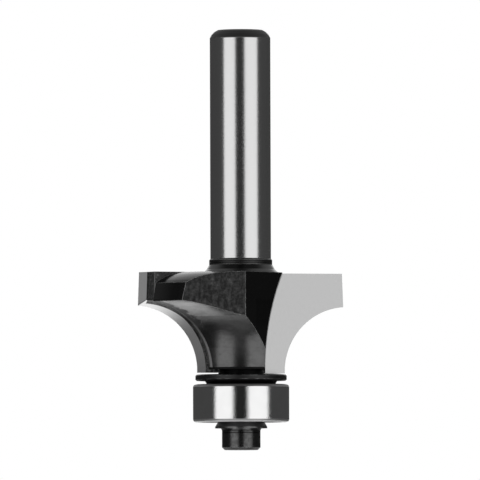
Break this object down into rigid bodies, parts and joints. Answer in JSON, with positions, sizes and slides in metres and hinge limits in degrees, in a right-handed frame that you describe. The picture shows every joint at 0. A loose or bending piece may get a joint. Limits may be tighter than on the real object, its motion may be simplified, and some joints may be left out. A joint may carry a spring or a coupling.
{
  "type": "router bit",
  "caption": "Cove router bit with brazed carbide cutting tips, a straight shank and a ball-bearing guide clamped below the cutter by a cap screw.",
  "frame": {"origin": "on the axis of rotation, at the free face of the cap screw head (bottom centre of the whole part)", "axes": "+Z along the axis from the screw head to the shank's end; the two wings with the carbide tips lie along +X and -X"},
  "size_m": [0.0286, 0.0182, 0.0554],
  "materials": {
    "body_steel": "black oxide on the head, bright ground on the shank",
    "carbide": "fine ground, satin grey",
    "disc_steel": "turned, black oxide",
    "bearing_steel": "ground and polished",
    "ball_steel": "polished",
    "cage_steel": "pressed",
    "shield_steel": "pressed sheet, bright",
    "washer_steel": "turned, black oxide",
    "screw_steel": "black oxide"
  },
  "bodies": {
    "cutter": {"cutter_body": "body_steel", "carbide_tip_1": "carbide", "carbide_tip_2": "carbide", "dust_disc": "disc_steel", "bearing_inner_ring": "bearing_steel", "clamp_washer": "washer_steel", "cap_screw": "screw_steel"},
    "bearing_outer": {"bearing_outer_ring": "bearing_steel", "bearing_shield_lower": "shield_steel", "bearing_shield_upper": "shield_steel", "snap_ring_lower": "shield_steel", "snap_ring_upper": "shield_steel"},
    "ball_train": {"ball_cage": "cage_steel", "bearing_ball_1": "ball_steel", "bearing_ball_2": "ball_steel", "bearing_ball_3": "ball_steel", "bearing_ball_4": "ball_steel", "bearing_ball_5": "ball_steel", "bearing_ball_6": "ball_steel", "bearing_ball_7": "ball_steel"}
  },
  "joints": [
    {"name": "bearing_spin", "type": "hinge", "parent": "cutter", "child": "bearing_outer", "pos_m": [0, 0, 0.00617], "axis": [0, 0, 1], "continuous": true},
    {"name": "ball_train_spin", "type": "hinge", "parent": "cutter", "child": "ball_train", "pos_m": [0, 0, 0.00617], "axis": [0, 0, 1], "continuous": true}
  ],
  "couplings": [
    {"joint": "ball_train_spin", "follows": "bearing_spin", "ratio": 0.63635}
  ]
}
